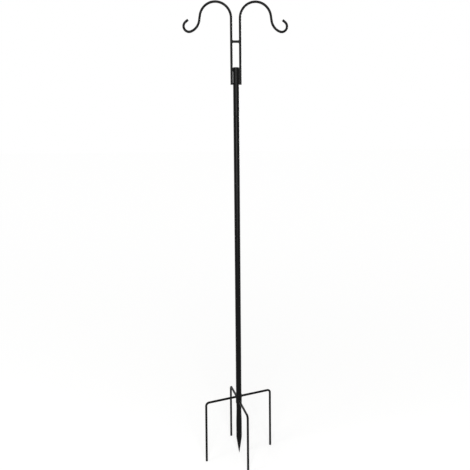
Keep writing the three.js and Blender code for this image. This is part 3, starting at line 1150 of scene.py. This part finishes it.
        root[:, 1:] = np.stack([0 * height + facing * self.bead_root, height], axis=-1)
        ring = np.concatenate([face, root[None]])
        ring[..., :2] = root[..., :2] + swell * (ring[..., :2] - root[..., :2])
        share = np.clip((ring[..., 0] - self.tube_radius + 1) / (self.hook_gap + 2.5), 0, 1)
        near_top = np.clip((height - low) / (high - low), 0, 1) ** 2
        ring[..., 2] -= top_drop * share * near_top * swell[:, 0]
        return ring.transpose(1, 0, 2)

    def build_hook_welds(self) -> None:
        """Builds the beads that hold the hook rods: short ones left, long ones right."""
        base, top = self.hook_base, self.top
        mirror = np.array([-1, 1, 1])
        for face, facing in (("front", -1), ("back", 1)):
            low_end = self.groove_bead(facing, base, base + self.left_lower_bead, 0)
            high_base = top - self.left_upper_bead
            high_end = self.groove_bead(facing, high_base, top, self.upper_bead_drop)
            for name, node, points in (
                ("left_rod_lower", "left_hook_lower", low_end * mirror),
                ("left_rod_upper", "left_hook_upper", high_end * mirror),
                ("right_rod_long", "right_hook", self.groove_bead(facing, base, top, 0)),
            ):
                piece = skin_object(f"{name}_{face}_bead", points)
                fit(piece, f"{node}_{face}_weld", Body.HEAD, self.weld)

    def build(self) -> None:
        """Builds the whole head."""
        self.build_tube()
        self.build_cap()
        self.build_cross_bar()
        for side in Side:
            self.build_hook(side)
            self.build_cross_bar_weld(side)
        self.build_hook_welds()


# ---- Foot ---------------------------------------------------------------------------------


@dataclass
class Foot:
    """The hub collar, the two prong rods through it, the stake below it and their welds."""

    stock: Stock
    paint: bpy.types.Material
    weld: bpy.types.Material
    collar_top: float = 293.0
    collar_bottom: float = 251.0
    collar_wall: float = 1.15
    long_arm: float = 160.0
    cross_arm: float = 154.0
    long_height: float = 282.0
    cross_height: float = 262.0
    long_azimuth: float = 20.2
    cross_azimuth: float = 100.3
    bend_radius: float = 14.0
    splay: float = 0.5
    stake_overlap: float = 80.0
    stake_wall: float = 1.5
    stake_thickness: float = 16.0
    round_length: float = 26.0
    press_length: float = 80.0
    point_length: float = 79.0
    tip_width: float = 1.6
    tip_clearance: float = 1.0
    hole_clearance: float = 0.3

    @property
    def collar_bore(self) -> float:
        """Inside radius of the collar, a sliding fit on the pole."""
        return self.stock.pole_radius + self.stock.plug_clearance

    @property
    def collar_radius(self) -> float:
        """Outside radius of the collar."""
        return self.collar_bore + self.collar_wall

    def prong_line(self, arm: float, height: float) -> BentLine:
        """The centre line of a prong rod, from one tip over both arms to the other tip.

        Args:
            arm: How far a leg's bend corner is from the pole's axis.
            height: Height of the arms.

        Returns:
            The line in the rod's own plane.
        """
        turn = 90 - self.splay
        setback = self.bend_radius * math.tan(math.radians(turn / 2))
        leg = height / math.cos(math.radians(self.splay))
        foot = -arm - height * math.tan(math.radians(self.splay))
        return (
            BentLine((foot, 0.0), math.radians(turn))
            .straight(leg - setback)
            .bend(self.bend_radius, -turn)
            .straight(2 * (arm - setback))
            .bend(self.bend_radius, -turn)
            .straight(leg - setback)
        )

    def rod_holes(self) -> list[np.ndarray]:
        """Surfaces of straight bars through the hub, a little thicker than the rods."""
        radius = self.stock.rod_radius + self.hole_clearance
        made = []
        for height, azimuth in (
            (self.long_height, self.long_azimuth),
            (self.cross_height, self.cross_azimuth),
        ):
            line = BentLine((-2 * self.collar_radius, height), 0.0).straight(4 * self.collar_radius)
            made.append(round_bar(line, radius, azimuth, 64, 0.1))
        return made

    def build_rod(
        self, name: str, node: str, arm: float, height: float, azimuth: float
    ) -> None:
        """Builds one prong rod, cut level at its tips.

        Args:
            name: What the piece is called.
            node: The CAD node that it stands for.
            arm: How far a leg is from the pole's axis.
            height: Height of its arms.
            azimuth: Which way it lies.
        """
        line = self.prong_line(arm, height)
        stock = self.stock
        points = round_bar(line, stock.rod_radius, azimuth, stock.rod_sides, 0.5, arc_step=1.0)
        points[..., 2] = np.maximum(points[..., 2], 0)
        piece = skin_object(name, points)
        fit(piece, node, Body.FOOT, self.paint)

    def build_collar(self) -> None:
        """Builds the hub collar."""
        outline = rounded_outline(
            [
                (self.collar_bore, self.collar_bottom, 0.15),
                (self.collar_radius, self.collar_bottom, 0.35),
                (self.collar_radius, self.collar_top, 0.35),
                (self.collar_bore, self.collar_top, 0.15),
            ]
        )
        points = turned(outline, self.stock.tube_sides)
        piece = skin_object("hub_collar_sleeve", points, wrap_rows=True)
        drill(piece, self.rod_holes())
        fit(piece, "hub_collar", Body.FOOT, self.paint)

    def build_end_weld(self, upward: int, tube_radius: float) -> None:
        """Builds the ring of weld that closes one end of the collar.

        Its toes are circles on the collar's end and on the tube inside, and the face between
        them arches outward at 45 degrees.

        Args:
            upward: 1 for the collar's top, -1 for its bottom.
            tube_radius: Radius of the tube inside it.
        """
        bead = Bead(crown=0.3, ripple_height=0.2, ripple_pitch=1.9, rows=10)
        count = round(2 * math.pi * self.collar_radius / bead.ripple_pitch)
        angle = np.linspace(0, 2 * math.pi, 8 * count, endpoint=False)
        level = self.collar_top if upward > 0 else self.collar_bottom
        leg = (self.collar_radius - tube_radius) * (1 + 0.06 * np.sin(3 * angle + upward))
        outward = np.stack([np.cos(angle), np.sin(angle), 0 * angle], axis=-1)
        rise = np.array([0, 0, float(upward)])
        base = outward * (self.collar_radius - 0.15) + np.array([0, 0, level - 0.1 * upward])
        inner = outward * (tube_radius - 0.2)
        crest = inner + leg[:, None] * rise + np.array([0, 0, float(level)])
        face = bead.across(base, crest, unit(outward + rise), count * angle / (2 * math.pi))
        root = inner + np.array([0, 0, level - 0.1 * upward])
        name = "collar_top" if upward > 0 else "collar_bottom"
        points = np.concatenate([face, root[None]])
        piece = skin_object(name + "_seal_weld", points, wrap_rows=True)
        fit(piece, name + "_weld", Body.FOOT, self.weld)

    def build_prong_weld(self, which: str, height: float, azimuth: float, seed: float) -> None:
        """Builds the fillet where one arm leaves the collar.

        Args:
            which: Whose arm it is: left, right, back or front.
            height: Height of the arm.
            azimuth: Which way the arm points.
            seed: Shifts the bead's wander.
        """
        bead = Bead(crown=0.7, ripple_height=0.26, ripple_pitch=2.0)
        points = saddle_weld(bead, self.collar_radius, self.stock.rod_radius, 2.6, 2.6, seed)
        points = turn_about_z(points, azimuth) + np.array([0, 0, height])
        piece = skin_object(which + "_prong_fillet", points, wrap_rows=True)
        fit(piece, which + "_prong_weld", Body.FOOT, self.weld)

    def stake_skin(self, height: np.ndarray, inset: float, sides: int) -> np.ndarray:
        """The stake's skin: a round tube pressed at constant girth and drawn to a point.

        Its section is two half circles as thick as the stake, joined by two flats. Pressing from
        the round thickness d to t makes each flat pi (d - t) / 2 wide. The press eases in and out
        with a smoothstep, and over the point everything shrinks in proportion.

        Args:
            height: Heights of the rows.
            inset: How far inside the skin the surface lies.
            sides: How many columns go round.

        Returns:
            Rows x columns x 3, in millimetres, with the flats along X.
        """
        around = 2 * self.stock.plug_radius
        start = self.collar_bottom - self.round_length
        share = np.clip((start - height) / self.press_length, 0, 1)
        pressed = share * share * (3 - 2 * share)
        full = around + (self.stake_thickness - around) * pressed
        taper = np.clip((height - self.tip_clearance) / self.point_length, 0, 1)
        past_shoulder = height - self.tip_clearance - self.point_length
        taper = taper - 0.018 * np.exp(-((past_shoulder / 5) ** 2))
        flat = math.pi * (around - full) / 2 * taper
        corner = (self.tip_width + (full - self.tip_width) * taper) / 2 - inset
        angle = 2 * math.pi * (np.arange(sides) + 0.5) / sides
        across = np.sign(np.cos(angle)) * flat[:, None] / 2 + corner[:, None] * np.cos(angle)
        through = corner[:, None] * np.sin(angle)
        return np.stack([across, through, np.broadcast_to(height[:, None], across.shape)], axis=-1)

    def build_stake(self) -> None:
        """Builds the stake: its skin up to the top rim, then its bore down to the closed point."""
        sides, top = 96, self.collar_bottom + self.stake_overlap
        shoulder = self.tip_clearance + self.point_length
        outside = np.concatenate(
            [
                self.tip_clearance + 0.6 * (1 - np.cos(np.linspace(0, math.pi / 2, 5)))[1:],
                np.linspace(self.tip_clearance + 2, shoulder - 8, 24),
                np.linspace(shoulder - 7, shoulder + 7, 20),
                np.linspace(shoulder + 10, self.collar_bottom - self.round_length + 2, 40),
                np.array([self.collar_bottom, self.collar_bottom + 4, self.stock.above_hub, top]),
            ]
        )
        skin = self.stake_skin(outside, 0.0, sides)
        nose = np.sin(np.linspace(0, math.pi / 2, 5))[1:]
        skin[:4] = skin[:4] * np.stack([nose, nose, np.ones(4)], axis=-1)[:, None]
        tip = np.broadcast_to([0.0, 0.0, self.tip_clearance], (1, sides, 3))
        inside = np.linspace(top, shoulder, 50)
        bore = self.stake_skin(inside, self.stake_wall, sides)
        floor = np.broadcast_to([0.0, 0.0, shoulder], (1, sides, 3))
        points = turn_about_z(np.concatenate([tip, skin, bore, floor]), self.long_azimuth)
        piece = skin_object("pressed_stake", points)
        drill(piece, self.rod_holes())
        fit(piece, "stake", Body.FOOT, self.paint)

    def build(self) -> None:
        """Builds the whole foot."""
        self.build_collar()
        long_rod = (self.long_arm, self.long_height, self.long_azimuth)
        cross_rod = (self.cross_arm, self.cross_height, self.cross_azimuth)
        self.build_rod("left_right_prongs", "long_prong_rod", *long_rod)
        self.build_rod("front_back_prongs", "cross_prong_rod", *cross_rod)
        self.build_end_weld(1, self.stock.pole_radius)
        self.build_end_weld(-1, self.stock.plug_radius)
        for which, rod, turn, seed in (
            ("left", long_rod, 180, 0.4),
            ("right", long_rod, 0, 1.9),
            ("back", cross_rod, 0, 3.1),
            ("front", cross_rod, 180, 4.6),
        ):
            self.build_prong_weld(which, rod[1], rod[2] + turn, seed)
        self.build_stake()


# ---- Locking screws -----------------------------------------------------------------------


@dataclass
class LockingScrews:
    """Three button-head screws with hexagon sockets, one through the side of each socket."""

    stock: Stock
    shank_radius: float = 3.0
    head_radius: float = 5.25
    head_height: float = 3.3
    rim_height: float = 0.8
    key_size: float = 4.0
    key_depth: float = 2.0
    seat_gap: float = 0.3
    sides: int = 96

    def surface(self) -> np.ndarray:
        """The screw along +Z with its head's underside at z = 0.

        The dome is a quarter ellipse of the radius. Its rings run from a circle at the rim to the
        hexagon of the socket, whose radius at an angle is half the key size over the cosine of
        the angle from the nearest flat. The socket's walls go straight down to a shallow cone.

        Returns:
            Rows x columns x 3, in millimetres.
        """
        angle = np.linspace(0, 2 * math.pi, self.sides, endpoint=False)
        way = np.stack([np.cos(angle), np.sin(angle)], axis=-1)
        from_flat = np.mod(angle, math.pi / 3) - math.pi / 6
        hexagon = self.key_size / 2 / np.cos(from_flat)
        shank = self.stock.pole_radius + self.seat_gap - (self.stock.plug_radius + self.seat_gap)

        def ring(radius: np.ndarray | float, height: np.ndarray | float) -> np.ndarray:
            """One ring of points of a radius and height that may change round it."""
            radius = np.broadcast_to(radius, angle.shape)
            height = np.broadcast_to(height, angle.shape)
            return np.column_stack([way * radius[:, None], height])[None]

        def dome(radius: np.ndarray) -> np.ndarray:
            """The dome's height at a radius, from its rim upward."""
            share = np.clip(1 - (radius / self.head_radius) ** 2, 0, 1)
            return self.rim_height + (self.head_height - self.rim_height) * np.sqrt(share)

        low = [(0.0, -shank), (self.shank_radius - 0.4, -shank), (self.shank_radius, -shank + 0.4)]
        low += [(self.shank_radius, 0.0), (self.head_radius - 0.3, 0.0)]
        quarter = np.linspace(0, math.pi / 2, 5)
        low += [
            (self.head_radius - 0.3 + 0.3 * math.sin(a), 0.3 - 0.3 * math.cos(a))
            for a in quarter[1:]
        ]
        rings = [ring(radius, height) for radius, height in low]
        for share in 1 - np.cos(np.linspace(0, math.pi / 2, 14)):
            radius = self.head_radius + (1.06 * hexagon - self.head_radius) * share
            rings.append(ring(radius, dome(radius)))
        edge = dome(hexagon)
        rings.append(ring(1.01 * hexagon, edge - 0.03))
        rings.append(ring(hexagon, edge - 0.14))
        floor = self.head_height - self.key_depth
        rings.append(ring(hexagon, floor + 0.1))
        rings.append(ring(0.97 * hexagon, floor))
        rings.append(ring(0.0, floor - 0.5))
        return np.concatenate(rings)

    def build(self) -> None:
        """Builds the three screws."""
        stock = self.stock
        for tag, body, seam, azimuth in (
            ("upper", Body.UPPER_SCREW, stock.upper_seam, stock.upper_screw_azimuth),
            ("middle", Body.MIDDLE_SCREW, stock.middle_seam, stock.middle_screw_azimuth),
            ("lower", Body.LOWER_SCREW, stock.foot_seam, stock.lower_screw_azimuth),
        ):
            way = np.array([math.cos(math.radians(azimuth)), math.sin(math.radians(azimuth)), 0])
            beside = np.array([-way[1], way[0], 0])
            basis = np.stack([beside, np.array([0.0, 0.0, 1.0]), way])
            centre = way * (stock.pole_radius + self.seat_gap)
            centre[2] = seam - stock.screw_below_seam
            piece = skin_object(tag + "_button_screw", self.surface() @ basis + centre)
            steel = BlackOxideSteel(tuple(way), tuple(centre), tag)
            fit(piece, tag + "_locking_screw", body, steel.material())


# ---- Studio -------------------------------------------------------------------------------


@dataclass(frozen=True)
class Softbox:
    """A soft rectangular lamp: where it is, what it points at, its size and its radiance.

    Its grid keeps the light within the spread, so that little of it spills on the floor.
    """

    name: str
    place: tuple[float, float, float]
    aim: tuple[float, float, float]
    width: float
    height: float
    radiance: float
    spread: float = 180.0

    def light(self) -> None:
        """Adds the lamp. Its power is pi times radiance times area."""
        lamp = bpy.data.lights.new(self.name, "AREA")
        lamp.shape, lamp.size, lamp.size_y = "RECTANGLE", self.width, self.height
        lamp.energy = math.pi * self.radiance * self.width * self.height
        lamp.spread = math.radians(self.spread)
        made = bpy.data.objects.new(self.name, lamp)
        made.location = self.place
        direction = Vector(self.aim) - Vector(self.place)
        made.rotation_euler = direction.to_track_quat("-Z", "Y").to_euler()
        bpy.context.scene.collection.objects.link(made)


@dataclass
class Studio:
    """A pale floor in a white room, soft lamps, and the camera at the photograph's angle."""

    ambient: float = 0.3
    floor_size: float = 80.0
    floor_colour: str = "#c8c8c7"
    floor_lift: float = 0.82
    near_saving: float = 0.185
    saving_reach: float = 2.0
    camera_place_mm: tuple[float, float, float] = (0.0, -2419.0, 1477.8)
    camera_yaw: float = 0.245
    camera_pitch: float = 10.41
    camera_roll: float = -0.54
    camera_focal_pixels: float = 566.2
    camera_turn: float = -4.0
    lamps: tuple[Softbox, ...] = (
        Softbox("key_softbox", (-0.17, -2.7, 1.5), (0.0, 0.0, 1.5), 1.4, 1.7, 8.0),
        Softbox("overhead_softbox", (-1.6, -0.9, 3.1), (0.0, 0.0, 1.9), 0.7, 0.7, 7.0),
        Softbox("rear_softbox", (0.9, 2.6, 1.8), (0.0, 0.0, 1.4), 0.8, 1.4, 0.9, 50.0),
    )

    @staticmethod
    def seen_directly(tree: bpy.types.NodeTree) -> bpy.types.NodeSocket:
        """Adds a switch that is 1 for camera, glossy and transmission rays, and returns it."""
        rays = add_node(tree, "LightPath")
        first = add_node(
            tree,
            "Math",
            {"operation": "MAXIMUM"},
            {0: rays.outputs["Is Camera Ray"], 1: rays.outputs["Is Glossy Ray"]},
        )
        second = add_node(
            tree,
            "Math",
            {"operation": "MAXIMUM"},
            {0: first.outputs["Value"], 1: rays.outputs["Is Transmission Ray"]},
        )
        return second.outputs["Value"]

    def build_world(self) -> None:
        """Lights the room evenly and shows it white."""
        world = bpy.data.worlds.new("white_room")
        world.use_nodes = True
        tree = world.node_tree
        tree.nodes.clear()
        level = add_node(
            tree,
            "Mix",
            {"data_type": "FLOAT"},
            {"Factor": self.seen_directly(tree), "A": self.ambient, "B": 1.0},
        )
        glow = add_node(
            tree,
            "Background",
            inputs={"Color": (1.0, 1.0, 1.0, 1.0), "Strength": level.outputs["Result"]},
        )
        add_node(tree, "OutputWorld", inputs={"Surface": glow.outputs["Background"]})
        bpy.context.scene.world = world

    def build_floor(self) -> None:
        """Lays the pale floor, lifted to white where it is seen and still holding shadows.

        The lamps light the floor most round the stand, so the lift there is less by the near
        saving, which fades as e to the minus distance over its reach.
        """
        half = self.floor_size / 2
        corners = [(-half, -half, 0), (half, -half, 0), (half, half, 0), (-half, half, 0)]
        mesh = bpy.data.meshes.new("studio_floor")
        mesh.from_pydata(corners, [], [(0, 1, 2, 3)])
        floor = bpy.data.objects.new("studio_floor", mesh)
        bpy.context.scene.collection.objects.link(floor)
        made, tree = new_material("pale_studio_floor")
        paint = add_node(tree, "BsdfDiffuse", inputs={"Color": linear(self.floor_colour)})
        place = add_node(tree, "TexCoord").outputs["Object"]
        away = add_node(tree, "VectorMath", {"operation": "LENGTH"}, {0: place})
        fade = add_node(
            tree,
            "Math",
            {"operation": "POWER"},
            {0: math.exp(-1 / self.saving_reach), 1: away.outputs["Value"]},
        )
        needed = add_node(
            tree,
            "Math",
            {"operation": "MULTIPLY_ADD"},
            {0: fade.outputs["Value"], 1: -self.near_saving, 2: self.floor_lift},
        )
        lift = add_node(
            tree,
            "Math",
            {"operation": "MULTIPLY"},
            {0: self.seen_directly(tree), 1: needed.outputs["Value"]},
        )
        glow = add_node(tree, "Emission", inputs={"Strength": lift.outputs["Value"]})
        both = add_node(
            tree, "AddShader", inputs={0: paint.outputs["BSDF"], 1: glow.outputs["Emission"]}
        )
        add_node(tree, "OutputMaterial", inputs={"Surface": both.outputs["Shader"]})
        mesh.materials.append(made)

    def build_camera(self) -> None:
        """Sets up the camera from its place, yaw, pitch and roll, turned with the stand."""
        angles = (self.camera_yaw, self.camera_pitch, self.camera_roll)
        yaw, pitch, roll = (math.radians(angle) for angle in angles)
        level_right = np.array([math.cos(yaw), math.sin(yaw), 0])
        level_ahead = np.array([-math.sin(yaw), math.cos(yaw), 0])
        upward = np.array([0.0, 0.0, 1.0])
        ahead = level_ahead * math.cos(pitch) - upward * math.sin(pitch)
        above = level_ahead * math.sin(pitch) + upward * math.cos(pitch)
        right = level_right * math.cos(roll) + above * math.sin(roll)
        top = -level_right * math.sin(roll) + above * math.cos(roll)
        axes = turn_about_z(np.stack([right, top, -ahead]), self.camera_turn)
        place = turn_about_z(np.array([self.camera_place_mm]), self.camera_turn)[0] * MM
        pose = np.eye(4)
        pose[:3, :3] = axes.T
        pose[:3, 3] = place
        lens = bpy.data.cameras.new("photograph_camera")
        lens.sensor_width = SENSOR_WIDTH
        lens.lens = self.camera_focal_pixels * SENSOR_WIDTH / FRAME_PIXELS
        lens.clip_start, lens.clip_end = 0.05, 200.0
        camera = bpy.data.objects.new("photograph_camera", lens)
        camera.matrix_world = Matrix(pose.tolist())
        bpy.context.scene.collection.objects.link(camera)
        bpy.context.scene.camera = camera

    def build(self) -> None:
        """Builds the room, its lamps and the camera."""
        bpy.context.scene.view_settings.view_transform = "Standard"
        self.build_world()
        self.build_floor()
        for lamp in self.lamps:
            lamp.light()
        self.build_camera()


def main() -> None:
    """Builds the stand piece by piece, then the studio round it."""
    logging.basicConfig(level=logging.INFO, format="%(name)s: %(message)s")
    stock = Stock()
    paint = PowderCoat().material()
    weld = CoatedWeld().material()
    plastic = MouldedPolyethylene().material()
    Studio().build()
    foot = Foot(stock, paint, weld)
    foot.build()
    Pole(stock, paint, foot.collar_bottom).build(foot.rod_holes())
    Head(stock, paint, weld, plastic).build()
    LockingScrews(stock).build()


if __name__ == "__main__":
    main()
